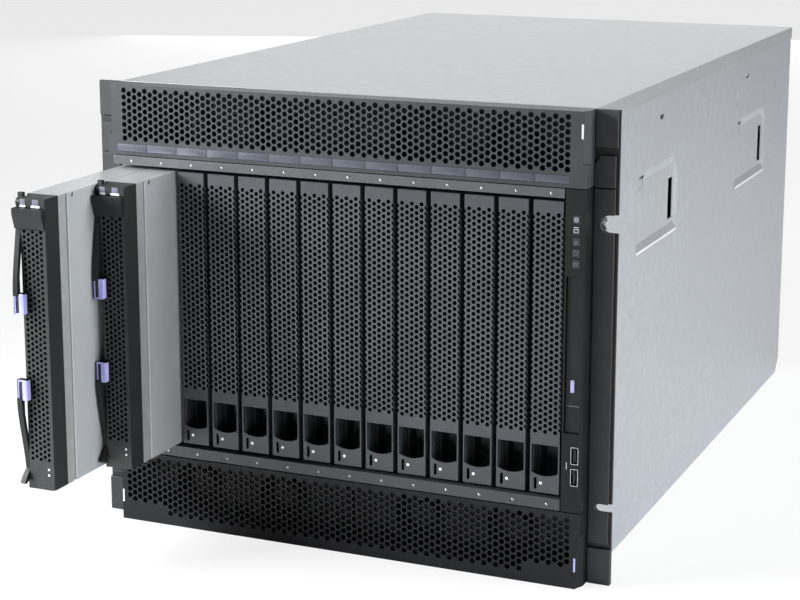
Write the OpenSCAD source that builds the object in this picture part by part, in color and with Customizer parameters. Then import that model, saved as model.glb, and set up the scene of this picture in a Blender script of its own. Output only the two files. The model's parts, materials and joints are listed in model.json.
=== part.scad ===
/* [Chassis] */
// Width of the body across the top cover's flanges
body_w = 442; // [440:1:448]
// Height of the body, nine rack units
body_h = 400; // [398:1:406]
// Depth of the body from the rack ears to the rear face
body_d = 720; // [710:5:760]
// How far each rack ear reaches beyond the body
ear_w = 20.3; // [19:0.1:21]
// Thickness of the side, base and shelf sheets
sheet = 1.5; // [1.2:0.1:2]
// Thickness of the top cover
cover_t = 1; // [0.8:0.1:1.2]
// Height of the top cover's side flanges
flange_h = 12.5; // [8:0.5:20]
// Size of the slope that cuts the rear bottom edge
rear_slope = 14; // [8:1:25]

/* [Front] */
// How far the bezels stand ahead of the ear covers
front_out = 18; // [15:0.5:24]
// Height of the lower bezel
lower_bezel_h = 65.5; // [62:0.5:70]
// Height of the lower rail
lower_rail_h = 10; // [8:0.5:12]
// Height of the upper rail
upper_rail_h = 8; // [6:0.5:10]
// Wall of the moulded bezels
bezel_t = 2.4; // [1.8:0.2:3]
// Seam between one front piece and the next
seam = 0.8; // [0.5:0.1:1.2]
// Diameter of the bezel's holes
bezel_hole_d = 4.7; // [3.6:0.1:4.8]
// Step between the bezel's holes
bezel_hole_step = 6.05; // [5.8:0.05:7]
// Width of the plain border beside the bezel's holes
bezel_border = 14; // [10:0.5:18]
// Height of the strip of slot labels
label_h = 7; // [5:0.5:8]

/* [Slots] */
// Number of blade slots
slot_count = 14; // [14]
// Space between the body's left face and the first slot
slot_inset = 4.4; // [4.2:0.1:5]
// Height of a blade or a filler
blade_h = 247; // [244:1:248]
// Space under a blade
under_blade = 2.4; // [2:0.1:3]
// Space over a blade for its hook
over_blade = 3.5; // [3.2:0.1:5]

/* [Blades] */
// Space between one blade and the next
blade_gap = 0.95; // [0.8:0.05:1.5]
// Length of a blade from its face to its rear edge
blade_len = 446; // [430:1:450]
// Depth of a blade's moulded bezel
blade_bezel_d = 20; // [16:1:26]
// How far the first blade stands out of its slot
first_out = 154; // [100:1:200]
// How far the second blade stands out of its slot
second_out = 81; // [50:1:120]
// Width of the channel that the release levers lie in
lever_w = 5; // [4.4:0.2:6]
// How far a lever bows ahead of the blade's face
lever_bow = 7.5; // [5:0.5:9]
// Diameter of a lever's pin
lever_pin_d = 3; // [2.4:0.2:3.4]
// Diameter of the holes in a blade's face
blade_hole_d = 3; // [2.4:0.1:3.4]
// Step between the holes in a blade's face
blade_hole_step = 4.6; // [4.3:0.1:5.4]

/* [Fillers] */
// Space between one filler's face and the next
filler_gap = 4.35; // [3:0.05:6]
// Depth of a filler
filler_d = 62; // [58:1:80]
// How far the fillers' faces lie behind the bezels
filler_set_back = 4; // [2:0.5:8]
// Diameter of a filler's holes
filler_hole_d = 3.5; // [2.8:0.1:3.8]
// Step between a filler's holes
filler_hole_step = 5.07; // [4.8:0.01:6]
// Height of the plain band over a filler's holes
filler_band = 9; // [6:0.5:14]
// Height of a filler's finger well
well_h = 27; // [20:1:32]
// Depth of a filler's finger well
well_d = 32; // [25:1:45]

/* [Media tray] */
// Width of the tray's face
tray_w = 17.5; // [17:0.1:19]
// Depth of the tray's box behind its face
tray_d = 139; // [136:1:142]
// Width of the square status windows
icon_w = 7; // [5:0.5:8]
// Height of the optical drive's face
drive_h = 128; // [120:1:130]
// Depth of the optical drive
drive_d = 127; // [115:1:130]

/* [Rear] */
// Width of a blower module
blower_w = 160; // [150:1:166]
// Space between a blower's wheel and its housing's sides, both sides together
wheel_room = 28; // [24:1:40]
// Number of blades in a blower's wheel
wheel_blades = 24; // [16:1:32]
// Space between one upright rear module and the next
module_gap = 2; // [1:0.5:4]

/* [Hidden] */
$fn = 24;

// Running clearance between pieces that slide or turn
play = 0.3;
// Gap at the joints of folded sheets
fold = 0.1;
// Thickness of the plates that carry the rack ears, and of the covers on them
ear_t = 2.5;
ear_cover_t = 3;

// Planes along Y, from the bezels' faces to the rear
front_y = -body_d / 2;
face_y = front_y - front_out;
ear_y = front_y + ear_cover_t;
sheet_y = ear_y + ear_t;
rear_y = body_d / 2;

// Planes along X
side_x = body_w / 2 - cover_t;
in_x = side_x - sheet;
ear_x = body_w / 2 + ear_w;
tray_x1 = body_w / 2;
tray_x0 = tray_x1 - tray_w;
slot_x0 = -body_w / 2 + slot_inset;
slot_x1 = tray_x0 - seam;
slot_step = (slot_x1 - slot_x0) / slot_count;
blade_w = slot_step - blade_gap;
filler_w = slot_step - filler_gap;
ear_cover_x = body_w / 2 + play;

// Heights, from the base up
lower_rail_z = lower_bezel_h + seam;
bay_z0 = lower_rail_z + lower_rail_h;
blade_z0 = bay_z0 + under_blade;
blade_z1 = blade_z0 + blade_h;
bay_z1 = blade_z1 + over_blade;
upper_rail_z1 = bay_z1 + upper_rail_h;
upper_bezel_z = upper_rail_z1 + seam;
cover_z = body_h - cover_t;

// Middle of slot i, counted from the left
function slot_x(i) = slot_x0 + (i - 0.5) * slot_step;

// Holes of a staggered grid: every second column, from the one numbered long, has one hole more
function grid_places(x0, x1, z0, z1, step, long = 0) = let(
    column = step * sin(60),
    columns = 2 * floor((x1 - x0) / column / 2),
    rows = floor((z1 - z0) / step),
    left = (x0 + x1 - columns * column) / 2,
    low = (z0 + z1 - rows * step) / 2)
    [for (c = [0:columns]) let(short = (c + long) % 2) for (r = [0:rows - short])
        [left + c * column, low + (r + short / 2) * step]];

// A box between two X, two Y and two Z planes
module box(x, y, z) {
    translate([x[0], y[0], z[0]]) cube([x[1] - x[0], y[1] - y[0], z[1] - z[0]]);
}

// A flat outline in X and Z, thickened along Y from the plane y
module facing(y, t) {
    translate([0, y + t, 0]) rotate([90, 0, 0]) linear_extrude(t) children();
}

// A flat outline in Y and Z, thickened along X from the plane x
module sideways(x, t) {
    translate([x, 0, 0]) rotate([90, 0, 90]) linear_extrude(t) children();
}

// Round holes at the given places
module holes_2d(places, d) {
    for (p = places) translate(p) circle(d = d);
}

// The children and their mirror image across the middle
module mirrored_2d() {
    children();
    mirror([1, 0]) children();
}

// The same for solids
module mirrored() {
    children();
    mirror([1, 0, 0]) children();
}

// ---- Sheet metal of the body ----

base_flat_y = rear_y - rear_slope;

module base_plate() {
    color("silver") sideways(-in_x, 2 * in_x) polygon([
        [sheet_y, 0], [base_flat_y, 0], [rear_y, rear_slope], [rear_y, rear_slope + sheet],
        [base_flat_y - sheet / 2, sheet], [sheet_y, sheet]]);
}

// Lift pockets: shallow stamped pans that a carrying handle hooks into
pocket_depth = 2;
pocket_l = 131;
pocket_h = 70;
pocket_z = body_h - 144;
pocket_border = 15;
pocket_y0 = 125;
pocket_step = 351;
pocket_y = [front_y + pocket_y0, front_y + pocket_y0 + pocket_step];

// Outline of a pocket, shrunk by a border, with its upper corners cut off
module pocket_outline(border, corner) {
    h = pocket_h - 2 * border;
    l = pocket_l - border;
    polygon([[border / 2, border], [l, border], [l, border + h - corner], [l - corner, border + h],
        [border / 2 + corner, border + h], [border / 2, border + h - corner]]);
}

// Solid that tapers from the pocket's rim at the sheet's face down to its floor
module pocket_pan(grow) {
    for (y = pocket_y) translate([side_x - pocket_depth + grow, y, pocket_z]) hull() {
        translate([pocket_depth - grow, 0, 0]) sideways(0, 0.02) pocket_outline(-grow, 16);
        sideways(-2 * grow, 0.02) pocket_outline(pocket_border / 2 - grow, 4);
    }
}

// Slots in each pocket's floor that the carrying handle's hooks go through
hook_slot_w = 13;
hook_slot_h = 38;
hook_slot_y = 106;

// Dimples pressed into each side: distance behind the ears and height
dimple_y = 478;
dimple_step = 171;
dimple_z = [29, 148, 203, 347];
dimples = concat([for (y = [dimple_y, dimple_y + dimple_step]) for (z = dimple_z) [y, z]],
    [[dimple_y + 154, pocket_z + 31]]);
dimple_r = 7;
dimple_d = 0.8;
// Small slots near the top edge
slit_y = 193;
slit_step = 320;
slit_l = 10;
slit_z = cover_z - 33.5;

module side_sheet() {
    difference() {
        union() {
            sideways(in_x, sheet) polygon([[ear_y, 0], [base_flat_y, 0], [rear_y, rear_slope],
                [rear_y, cover_z], [ear_y, cover_z]]);
            pocket_pan(sheet / 2);
        }
        pocket_pan(0);
        for (p = dimples) let(r = (dimple_r * dimple_r + dimple_d * dimple_d) / (2 * dimple_d))
            translate([side_x + r - dimple_d, front_y + p[0], p[1]]) sphere(r, $fn = 96);
        for (y = [slit_y, slit_y + slit_step])
            box([in_x - 1, side_x + 1], [front_y + y, front_y + y + slit_l], [slit_z, slit_z + 4]);
        for (y = pocket_y) {
            box([in_x - 4, side_x + 1], [y + hook_slot_y, y + hook_slot_y + hook_slot_w],
                [pocket_z + 12, pocket_z + 12 + hook_slot_h]);
            // Seat of the handle's latch, pressed into the floor
            box([side_x - pocket_depth - 0.5, side_x + 1], [y + 6, y + 24],
                [pocket_z + pocket_h - 14, pocket_z + pocket_h - 3]);
        }
    }
}

module left_side() { color("silver") mirror([1, 0, 0]) side_sheet(); }
module right_side() { color("silver") side_sheet(); }

module top_cover() {
    color("gainsboro") difference() {
        box([-body_w / 2, body_w / 2], [sheet_y, rear_y], [body_h - flange_h, body_h]);
        box([-side_x, side_x], [sheet_y - 1, rear_y + 1], [body_h - flange_h - 1, cover_z]);
    }
}

midplane_y = face_y + blade_len + 8;
midplane_t = 4;

module shelf(z) {
    box([-in_x, in_x], [sheet_y, midplane_y + midplane_t], [z, z + sheet]);
}

module bay_ceiling() { color("silver") shelf(bay_z1); }
module bay_floor() { color("silver") shelf(bay_z0 - sheet); }

// Ribs that each blade slides between, on a thin strip at the floor and at the ceiling
guide_base = 1;
guide_ribs = [[-6, -3], [6, 9]];

module guide_strip(z0, z1, rib_z0, rib_z1) {
    y = [sheet_y + 2, midplane_y - 14];
    box([slot_x0, slot_x1 - seam], y, [z0, z1]);
    for (i = [1:slot_count]) for (rib = guide_ribs)
        box([slot_x(i) + rib[0], slot_x(i) + rib[1]], y, [rib_z0, rib_z1]);
}

module lower_guides() {
    color("dimgray") guide_strip(bay_z0, bay_z0 + guide_base, bay_z0, blade_z0 - play);
}

module upper_guides() {
    color("dimgray") guide_strip(bay_z1 - guide_base, bay_z1, blade_z1 + play, bay_z1);
}

module midplane() {
    color("darkgreen") difference() {
        box([-in_x, in_x], [midplane_y, midplane_y + midplane_t], [bay_z0, bay_z1]);
        for (i = [1:slot_count]) box([slot_x(i) - 9, slot_x(i) + 9],
            [midplane_y - 1, midplane_y + midplane_t + 1],
            [blade_z0 + blade_h / 2 - 30, blade_z0 + blade_h / 2 + 30]);
    }
}

// Height of the two signal and power connectors behind each slot
connector_h = 52;

module midplane_connectors() {
    color("black") for (i = [1:slot_count]) for (z = [blade_z0 + 20, blade_z1 - 20 - connector_h])
        box([slot_x(i) - 8, slot_x(i) + 8], [midplane_y - 7, midplane_y], [z, z + connector_h]);
}

tray_wall_t = 0.8;

module tray_wall() {
    color("silver") box([slot_x1, slot_x1 + tray_wall_t], [sheet_y, midplane_y], [bay_z0, bay_z1]);
}

// ---- Rails over and under the slots ----

module rail(z0, z1) {
    wall = sheet;
    difference() {
        box([slot_x0, slot_x1], [face_y, sheet_y], [z0, z1]);
        box([slot_x0 - 1, slot_x1 + 1], [face_y + wall, sheet_y + 1], [z0 + wall, z1 - wall]);
    }
}

module upper_rail() { color("dimgray") rail(bay_z1, upper_rail_z1); }
module lower_rail() { color("dimgray") rail(lower_rail_z, bay_z0); }

// ---- Rack ears and their covers ----

// Notches for the rack's screws, at standard rack heights: middle and height of each
notch_z = [66.7, 307];
notch_h = [7.4, 15];
notch_x = ear_x - 14;

module notches() {
    for (k = [0, 1]) hull() {
        translate([notch_x + notch_h[k] / 2, notch_z[k]]) circle(d = notch_h[k]);
        translate([ear_x + notch_h[k], notch_z[k]]) circle(d = notch_h[k]);
    }
}

// One ear: it meets the outer face of the side sheet, and clears the cover's folded edge
module ear() {
    facing(ear_y, ear_t) difference() {
        translate([side_x, 0]) square([ear_x - side_x, body_h]);
        translate([side_x - 1, body_h - flange_h]) square([body_w / 2 + 1 - side_x, flange_h + 1]);
        notches();
    }
}

module left_ear() { color("black") mirror([1, 0, 0]) ear(); }
module right_ear() { color("black") ear(); }

// Edges of the four covers of one ear, from the bottom up
cap_z1 = 31.5;
long_cover_z = [36, 336];
short_cover_z = [336.8, 363];
top_cap_z = 369.5;
cover_edge_x = ear_x - 2.5;

module ear_covers() {
    facing(front_y, ear_cover_t) {
        translate([ear_cover_x, 0]) square([ear_x - ear_cover_x, cap_z1]);
        difference() {
            translate([ear_cover_x, long_cover_z[0]])
                square([cover_edge_x - ear_cover_x, long_cover_z[1] - long_cover_z[0]]);
            notches();
        }
        polygon([[ear_cover_x + 5, short_cover_z[1]], [cover_edge_x, short_cover_z[1]],
            [cover_edge_x, short_cover_z[0]], [ear_cover_x, short_cover_z[0]],
            [ear_cover_x, short_cover_z[1] - 8]]);
        translate([ear_cover_x, top_cap_z]) square([ear_x - 1 - ear_cover_x, body_h - top_cap_z]);
    }
}

module left_ear_covers() { color("dimgray") mirror([1, 0, 0]) ear_covers(); }
module right_ear_covers() { color("dimgray") ear_covers(); }

// ---- Bezels ----

scoop_w = 3.6;
scoop_d = 12;
bezel_y1 = ear_y - play;

// Finger scoop at each end of a bezel, between two heights
module scoops(z0, z1) {
    mirrored() translate([0, 0, z0]) linear_extrude(z1 - z0)
        polygon([[body_w / 2 - scoop_w, face_y - 1], [body_w / 2 - scoop_w, face_y + 2],
            [body_w / 2 + 1, face_y + scoop_d], [body_w / 2 + 1, face_y - 1]]);
}

// Hollow moulding with a perforated face
module bezel_shell(z0, z1, places) {
    inner_x = body_w / 2 - scoop_w - bezel_t;
    difference() {
        box([-body_w / 2, body_w / 2], [face_y, bezel_y1], [z0, z1]);
        box([-inner_x, inner_x], [face_y + bezel_t, bezel_y1 + 1], [z0 + bezel_t, z1 - bezel_t]);
        facing(face_y - 1, bezel_t + 2) holes_2d(places, bezel_hole_d);
        children();
    }
}

label_z = upper_bezel_z + 3;
label_gap = 1.2;
label_recess = 0.4;

module upper_bezel() {
    x = body_w / 2 - bezel_border;
    edge = 2.4 + bezel_hole_d / 2;
    grid = grid_places(-x, x, label_z + label_h + edge, body_h - edge, bezel_hole_step);
    color("dimgray") bezel_shell(upper_bezel_z, body_h, grid) {
        scoops(upper_bezel_z + 19, body_h + 1);
        for (i = [1:slot_count]) box(
            [slot_x(i) + slot_inset - slot_step / 2, slot_x(i) + slot_inset + slot_step / 2 - label_gap],
            [face_y - 1, face_y + label_recess], [label_z, label_z + label_h]);
    }
}

// The lower bezel's holes run nearer to its ends, but its bottom rows stop short of its corners
lower_border = 10;
corner_plain_w = 50;
corner_plain_z = 19;

module lower_bezel() {
    x = body_w / 2 - lower_border;
    grid = [for (p = grid_places(-x, x, 10, lower_bezel_h - 5, bezel_hole_step))
        if (p[1] > corner_plain_z || abs(p[0]) < body_w / 2 - corner_plain_w) p];
    color("dimgray") bezel_shell(0, lower_bezel_h, grid) scoops(-1, 46);
}

// ---- Fillers ----

filler_wall = 1.2;
filler_y = face_y + filler_set_back;
well_z1 = blade_z0 + 41.5;
well_z0 = well_z1 - well_h;
// Drop of the well's curved sill at its middle
sill_drop = 3.1;
// The latch's hub, in a recess of the well's back
latch_x = 4.8 - filler_w / 2;
latch_z = blade_z0 + 17.5;
latch_r = 7.3;
latch_d = 6;
// Ribs along the well's left wall: distance behind the face and width
well_ribs = [[4, 7], [21, 4]];
rib_t = 0.7;

// Opening of the finger well: straight on top and bowed along the bottom
module well_outline() {
    half = filler_w / 2 - filler_wall;
    radius = (half * half + sill_drop * sill_drop) / (2 * sill_drop);
    intersection() {
        translate([-half, well_z0]) square([2 * half, well_h]);
        translate([0, well_z0 + radius]) circle(radius, $fn = 96);
    }
}

// Recess in the well's back: a tall slot on the left, and the round that the latch's hub turns in
module latch_outline() {
    half = filler_w / 2 - filler_wall;
    intersection() {
        translate([-half, blade_z0 + filler_wall]) square([2 * half, well_z1 - blade_z0 - filler_wall]);
        union() {
            translate([-half, 0]) square([latch_x + half, body_h]);
            translate([latch_x, latch_z]) circle(latch_r, $fn = 48);
        }
    }
}

// Slot beside the lamp, round at both ends
module lamp_slot() {
    hull() for (z = [blade_z0 + 4, blade_z0 + 11.5])
        translate([latch_x, z]) circle(d = 2.6, $fn = 24);
}

module filler(i) {
    half = filler_w / 2;
    inner = half - filler_wall;
    y1 = filler_y + filler_d;
    back_y = filler_y + well_d;
    edge = filler_hole_step * sin(60);
    grid = grid_places(-3 * edge - 0.1, 3 * edge + 0.1, well_z1 + filler_band + filler_hole_d / 2,
        blade_z1 - filler_band - filler_hole_d / 2, filler_hole_step, 1);
    well_z = [blade_z0 + filler_wall, well_z1];
    color("darkslategray") translate([slot_x(i), 0, 0]) {
        difference() {
            box([-half, half], [filler_y, y1], [blade_z0, blade_z1]);
            // Hollows behind the holes and behind the well
            box([-inner, inner], [filler_y + filler_wall, y1 + 1],
                [well_z1 + filler_wall, blade_z1 - filler_wall]);
            box([-inner, inner], [back_y + latch_d + filler_wall, y1 + 1],
                [well_z[0], well_z1 + filler_wall + 1]);
            // The well, its opening and the latch's recess
            box([-inner, inner], [filler_y + filler_wall, back_y], well_z);
            facing(back_y - 1, latch_d + 1) latch_outline();
            facing(filler_y - 1, filler_wall + 2) well_outline();
            facing(filler_y - 1, filler_wall + 3) holes_2d(grid, filler_hole_d);
            facing(filler_y - 1, filler_wall + 2) lamp_slot();
        }
        for (rib = well_ribs)
            box([-inner, -inner + rib_t], [filler_y + rib[0], filler_y + rib[0] + rib[1]], well_z);
        translate([latch_x, back_y, latch_z]) rotate([-90, 0, 0]) cylinder(h = latch_d, r = 1.3);
    }
}

// ---- Blades ----

shell_t = 1.2;
blade_cover_t = 1.1;
cover_y0 = blade_bezel_d + 12.5;

// Moves a blade's own frame to its slot: X from the slot's middle, Y back from the blade's face
module in_slot(i) {
    out = i == 1 ? first_out : second_out;
    translate([slot_x(i), face_y - out, 0]) children();
}

module blade_shell(i) {
    half = blade_w / 2;
    body_x = half - blade_cover_t - fold;
    // Rear edge of the wide strip behind the bezel
    shell_y = blade_bezel_d + 9;
    color("silver") in_slot(i) difference() {
        union() {
            box([-half, half], [blade_bezel_d, shell_y], [blade_z0, blade_z1]);
            box([-half, body_x], [blade_bezel_d, blade_len], [blade_z0, blade_z1]);
        }
        box([-half + shell_t, half - shell_t], [blade_bezel_d - 1, shell_y - shell_t],
            [blade_z0 + shell_t, blade_z1 - shell_t]);
        box([-half + shell_t, body_x - shell_t], [blade_bezel_d, blade_len - shell_t],
            [blade_z0 + shell_t, blade_z1 - shell_t]);
        box([0, half + 1], [cover_y0 + 3, blade_len - 8], [blade_z0 + 6, blade_z1 - 6]);
        for (z = [blade_z0 + 16, blade_z1 - 24 - connector_h])
            box([-10, 10], [blade_len - 3, blade_len + 1], [z, z + connector_h + 8]);
    }
}

module blade_cover(i) {
    half = blade_w / 2;
    color("gainsboro") in_slot(i) {
        box([half - blade_cover_t, half], [cover_y0, blade_len], [blade_z0, blade_z1]);
        // Folded front edge, and the two ribs pressed into the panel
        box([half - blade_cover_t, half + 0.25], [cover_y0, cover_y0 + 5], [blade_z0, blade_z1]);
    }
}

board_t = 1.6;
board_standoff = 3;

// Heat sinks of the processors: distance behind the blade's face, length, height and fins
sink_y = 150;
sink_l = 90;
sink_h = 80;
sink_z = [20, 125];
fin_step = 8.5;
part_h = 15;
// Memory modules and the drive
memory_y = sink_y + sink_l + 22;
memory_step = 9;
memory_z = [48, 182];
disk_y = [50, 125];
disk_z = [60, 162];

module blade_board(i) {
    x0 = -blade_w / 2 + shell_t;
    z0 = blade_z0 + 10;
    z1 = blade_z1 - 10;
    board_x = x0 + board_standoff;
    top_x = board_x + board_t;
    color("seagreen") in_slot(i) {
        box([board_x, top_x], [blade_bezel_d + 16, blade_len - 8], [z0, z1]);
        for (y = [blade_bezel_d + 30, blade_len / 2, blade_len - 30]) for (z = [z0 + 12, z1 - 12])
            translate([x0, y, z]) rotate([0, 90, 0]) cylinder(h = board_standoff, d = 6);
        for (z = sink_z) {
            box([top_x, top_x + 4], [sink_y, sink_y + sink_l], [z0 + z, z0 + z + sink_h]);
            for (k = [0:floor(sink_h / fin_step)])
                box([top_x + 4, top_x + part_h], [sink_y, sink_y + sink_l],
                    [z0 + z + k * fin_step, z0 + z + k * fin_step + 1.6]);
        }
        for (k = [0:7]) translate([0, memory_y + k * memory_step, 0])
            box([top_x, top_x + part_h], [0, 2.6], [z0 + memory_z[0], z0 + memory_z[1]]);
        box([top_x, top_x + part_h], disk_y, [z0 + disk_z[0], z0 + disk_z[1]]);
        for (z = [blade_z0 + 20, blade_z1 - 20 - connector_h])
            box([top_x, 8], [blade_len - 22, blade_len - 8], [z, z + connector_h]);
    }
}

// Pivots of the two release levers, from the blade's face and from its ends
pivot_y = 5;
upper_pivot_z = blade_z1 - 4.5;
lower_pivot_z = blade_z0 + 9;
barrel_r = 3.8;
head_z0 = blade_z1 - 25.5;
head_z1 = blade_z1 - 8.2;
channel_d = 9;

module blade_bezel(i) {
    half = blade_w / 2;
    wall_x = -half + lever_w;
    grid = [for (p = grid_places(wall_x, half - 1, blade_z0 + 26, head_z0 - 2, blade_hole_step)) p];
    color([0.13, 0.14, 0.15]) in_slot(i) {
        difference() {
            box([-half, half], [0, blade_bezel_d], [blade_z0, blade_z1]);
            // Channel for the levers along the left edge, deeper where their ends turn
            box([-half - 1, wall_x], [-1, channel_d], [blade_z0 - 1, blade_z1 + 1]);
            for (z = [[blade_z0 - 1, blade_z0 + 24], [blade_z1 - 22, blade_z1 + 1]])
                box([-half - 1, wall_x], [-1, blade_bezel_d - 1.2], z);
            box([wall_x + shell_t, half - shell_t], [1.6, blade_bezel_d + 1],
                [blade_z0 + shell_t, blade_z1 - shell_t]);
            box([-half + shell_t, wall_x + 2], [channel_d + shell_t, blade_bezel_d + 1],
                [blade_z0 + 25.2, blade_z1 - 23.2]);
            // Window that the upper lever's head turns in
            box([wall_x + shell_t, half - shell_t], [-1, 3], [head_z0 - 0.6, blade_z1 - 7.5]);
            facing(-1, 4) holes_2d(grid, blade_hole_d);
            // Sloped lower corners of the face
            for (m = [0, 1]) mirror([m, 0, 0]) translate([half, 0, blade_z0]) rotate([0, 0, 45])
                cube([3, 3, 3], center = true);
        }
        for (z = [upper_pivot_z, lower_pivot_z]) translate([-half + 0.4, pivot_y, z]) rotate([0, 90, 0])
            cylinder(h = lever_w, d = lever_pin_d);
    }
}

pad_w = 10;
pad_h = 17.5;
upper_lever_l = 92;
lower_lever_l = 86;

// Side outline of a lever's arm, from its pivot up: it bows ahead of the face towards its pad
module lever_outline(length) {
    steps = 14;
    arm = length - pad_h + 2;
    bow = [for (k = [0:steps]) let(u = k / steps)
        [2 - pivot_y - (lever_bow + 2) * u * u * (3 - 2 * u), arm * u]];
    polygon(concat(bow, [for (k = [steps:-1:0]) [bow[k][0] + 3.2 + 1.2 * (1 - k / steps), bow[k][1]]]));
    circle(r = barrel_r);
}

// Lever with a touch pad at its free end; its pin hole is on the X axis
module lever(length, hook) {
    x0 = -blade_w / 2 + play / 2;
    x1 = -blade_w / 2 + lever_w - play;
    difference() {
        union() {
            sideways(x0, x1 - x0) lever_outline(length);
            box([x0, x1], [0, 4], [-hook, 0]);
            box([x0, x0 + pad_w], [-lever_bow - pivot_y + 1, -pivot_y - 0.8], [length - pad_h, length]);
        }
        translate([-blade_w, 0, 0]) rotate([0, 90, 0]) cylinder(h = blade_w, d = lever_pin_d + 0.2);
    }
}

module upper_lever(i) {
    half = blade_w / 2;
    color("black") in_slot(i) translate([0, pivot_y, upper_pivot_z]) {
        mirror([0, 0, 1]) lever(upper_lever_l, bay_z1 - play - upper_pivot_z);
        // Head that spans the blade's face, and the web that joins it to the arm
        box([-half + play / 2, -half + lever_w - play], [-pivot_y - 1, 0],
            [head_z0 - upper_pivot_z, head_z1 - upper_pivot_z]);
        sideways(-half + play / 2, blade_w - play) polygon([
            [-pivot_y - play, head_z0 - upper_pivot_z], [-pivot_y - play, head_z1 - upper_pivot_z],
            [-pivot_y - 5, head_z1 - upper_pivot_z], [-pivot_y - 5, head_z1 - upper_pivot_z - 5],
            [-pivot_y - 2, head_z0 - upper_pivot_z + 2], [-pivot_y - 1.6, head_z0 - upper_pivot_z]]);
    }
}

module lower_lever(i) {
    x0 = -blade_w / 2 + play / 2;
    color("black") in_slot(i) translate([0, pivot_y, lower_pivot_z]) {
        lever(lower_lever_l, lower_pivot_z - bay_z0 - play);
        // Foot that flares ahead of the face
        sideways(x0, lever_w - play * 1.5) polygon([[-3, 8], [-3.4, 0], [-barrel_r, -1], [-10, -4.5],
            [-12.6, -2.4], [-8, 3]]);
    }
}

// ---- Media tray ----

tray_z0 = lower_rail_z;
tray_z1 = upper_rail_z1;
tray_face_t = 2.4;
icon_x0 = tray_x0 + 5.6;
icon_step = icon_w + 2.1;
icon_z0 = tray_z1 - 64.5;
drive_z1 = tray_z1 - 72;
drive_z0 = drive_z1 - drive_h - 3;
// Width of the slim drive
drive_w = 12.7;
drive_x0 = tray_x0 + 1.9;
usb_w = 7;
usb_h = 15.2;
usb_z = [drive_z0 - 26.5, drive_z0 - 45];
usb_d = 12;
usb_x0 = tray_x0 + 7.7;

module media_tray() {
    box_x = [tray_x0 + 1.3, in_x - 2 * play];
    color("dimgray") difference() {
        union() {
            box([tray_x0, tray_x1], [face_y, ear_y - play], [tray_z0, tray_z1]);
            box(box_x, [face_y + 1, face_y + tray_d], [bay_z0 + play, bay_z1 - play]);
        }
        box([box_x[0] + 1, box_x[1] - 1], [face_y + tray_face_t + usb_d, face_y + tray_d + 1],
            [bay_z0 + play + 1, drive_z0 - 2]);
        box([drive_x0 - play, drive_x0 + drive_w + play], [face_y + 1, face_y + tray_d + 1],
            [drive_z0 - play, drive_z1 + play]);
        box([box_x[0] + 1, box_x[1] - 1], [face_y + tray_face_t + 4, face_y + tray_d + 1],
            [drive_z1 + 2, bay_z1 - play - 1]);
        facing(face_y - 1, tray_face_t + 5) for (k = [0:4])
            translate([icon_x0, icon_z0 + k * icon_step]) square(icon_w);
        facing(face_y - 1, 3) translate([drive_x0 - play, drive_z0 - play])
            square([drive_w + 2 * play, drive_z1 - drive_z0 + 2 * play]);
        facing(face_y - 1, usb_d + 1) for (z = usb_z) translate([usb_x0, z]) square([usb_w, usb_h]);
    }
}

module status_windows() {
    color("white") facing(face_y + 0.3, 3) for (k = [0:4])
        translate([icon_x0 + 0.2, icon_z0 + k * icon_step + 0.2]) square(icon_w - 0.4);
}

// The drive: a sealed case, with the disc drawer and its face in front of it
drawer_face_t = 3;
disc_recess = 3;
drawer_y = face_y + 2.2;
button_z = drive_z0 + 34;

module optical_drive() {
    x = [drive_x0, drive_x0 + drive_w];
    y0 = drawer_y + drawer_face_t + play;
    color("silver") difference() {
        box(x, [y0, y0 + drive_d], [drive_z0, drive_z1]);
        box([x[0] + 0.8, x[1] - 0.8], [y0 - 1, y0 + drive_d - 4], [drive_z0 + 1.2, drive_z1 - 1.2]);
    }
}

module disc_drawer() {
    x = [drive_x0 + 1.2, drive_x0 + drive_w - 1.2];
    y0 = drawer_y + drawer_face_t;
    centre_z = (drive_z0 + drive_z1) / 2;
    color("black") difference() {
        union() {
            box([drive_x0, drive_x0 + drive_w], [drawer_y, y0], [drive_z0, drive_z1]);
            box(x, [y0 - 1, y0 + drive_d - 8], [drive_z0 + 1.6, drive_z1 - 1.6]);
        }
        // Recess for the disc, and the hole its button sits in
        translate([x[1] - disc_recess, y0 + drive_d / 2, centre_z]) rotate([0, 90, 0])
            cylinder(h = drive_w, d = min(drive_h, drive_d) - 9, $fn = 64);
        box([drive_x0 + 4, drive_x0 + 8], [drawer_y - 1, y0 + 4], [button_z, button_z + 11]);
    }
}

module eject_button() {
    color("lavender") box([drive_x0 + 4 + play, drive_x0 + 8 - play], [drawer_y - 0.8, drawer_y + 4.2],
        [button_z + play, button_z + 11 - play]);
}

// ---- Inside: power modules ----

module power_module(x0, w, z0, h) {
    y0 = sheet_y + 6;
    d = 330;
    difference() {
        box([x0, x0 + w], [y0, y0 + d], [z0, z0 + h]);
        for (k = [0, 1]) translate([x0 + w * (0.3 + 0.4 * k), y0 - 1, z0 + h / 2]) rotate([-90, 0, 0])
            cylinder(h = 18, d = h - 14, $fn = 48);
    }
    for (k = [0, 1]) translate([x0 + w * (0.3 + 0.4 * k), y0 + 4, z0 + h / 2]) rotate([-90, 0, 0])
        cylinder(h = 14, d = 22);
}

module power_modules() {
    w = in_x - 4;
    color("darkgray") for (x0 = [-in_x + 2, 2]) {
        power_module(x0, w, sheet, lower_bezel_h - 2 * sheet);
        power_module(x0, w, bay_z1 + sheet, cover_z - bay_z1 - 2 * sheet);
    }
}

// ---- Rear ----

divider_x = blower_w / 2 + 2;
divider_t = 1.2;
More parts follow.
